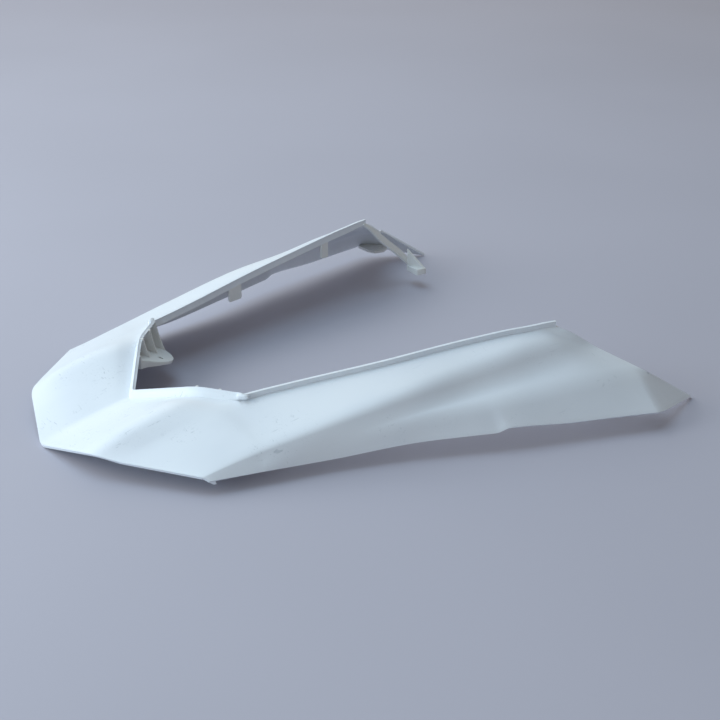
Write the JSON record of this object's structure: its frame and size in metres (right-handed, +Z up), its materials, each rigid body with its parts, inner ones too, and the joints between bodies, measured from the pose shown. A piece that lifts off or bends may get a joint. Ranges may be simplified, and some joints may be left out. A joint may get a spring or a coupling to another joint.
{
  "type": "motorcycle tail fairing",
  "caption": "One-piece moulded tail fairing: a pointed tail with a centre valley and two long arms that wrap round the seat opening, with screw brackets inside.",
  "frame": {"origin": "on the ground, under the middle of the part's length and on its mirror plane", "axes": "+X from the tail tip to the arm tips, +Y to the part's left with the tail behind, +Z up from the ground the part lies on"},
  "size_m": [0.5, 0.4644, 0.0753],
  "materials": {
    "white_plastic": "plain white moulded plastic, satin sheen, a few faint grey scuffs"
  },
  "bodies": {
    "root": {"tail_fairing": "white_plastic"}
  },
  "joints": []
}
